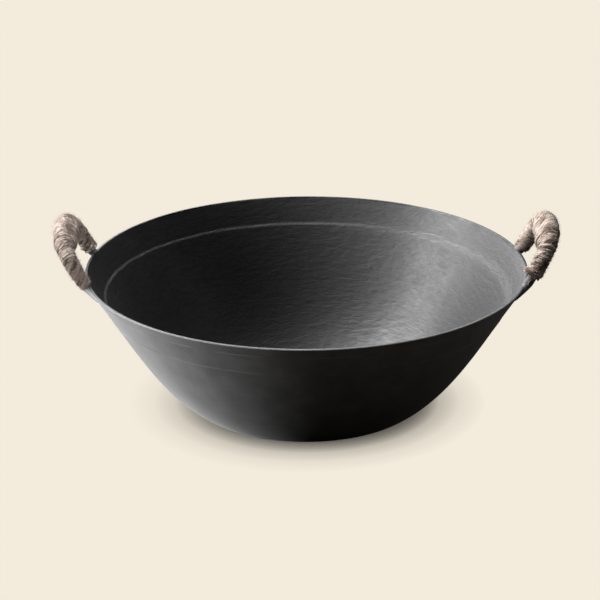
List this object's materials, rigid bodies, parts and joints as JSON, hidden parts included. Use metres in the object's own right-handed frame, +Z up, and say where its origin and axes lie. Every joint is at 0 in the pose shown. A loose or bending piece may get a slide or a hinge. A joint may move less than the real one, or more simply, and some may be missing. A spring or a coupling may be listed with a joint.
{
  "type": "wok",
  "caption": "Deep cast iron wok with a flared bowl on a flat base and upright loop ears bound in natural twine, for frying and simmering over a hob.",
  "frame": {"origin": "centre of the flat base, on the surface that the wok stands on", "axes": "+Z up, +X through both ears, +Y from the front of the bowl to the back"},
  "size_m": [0.3862, 0.34, 0.1496],
  "materials": {
    "cast_iron": "seasoned black iron, satin, with fine turning marks inside",
    "twine": "dry natural bast twine, hairy, in tight turns"
  },
  "bodies": {
    "root": {"bowl": "cast_iron", "right_ear": "cast_iron", "left_ear": "cast_iron", "right_twine_wrap": "twine", "left_twine_wrap": "twine"}
  },
  "joints": []
}
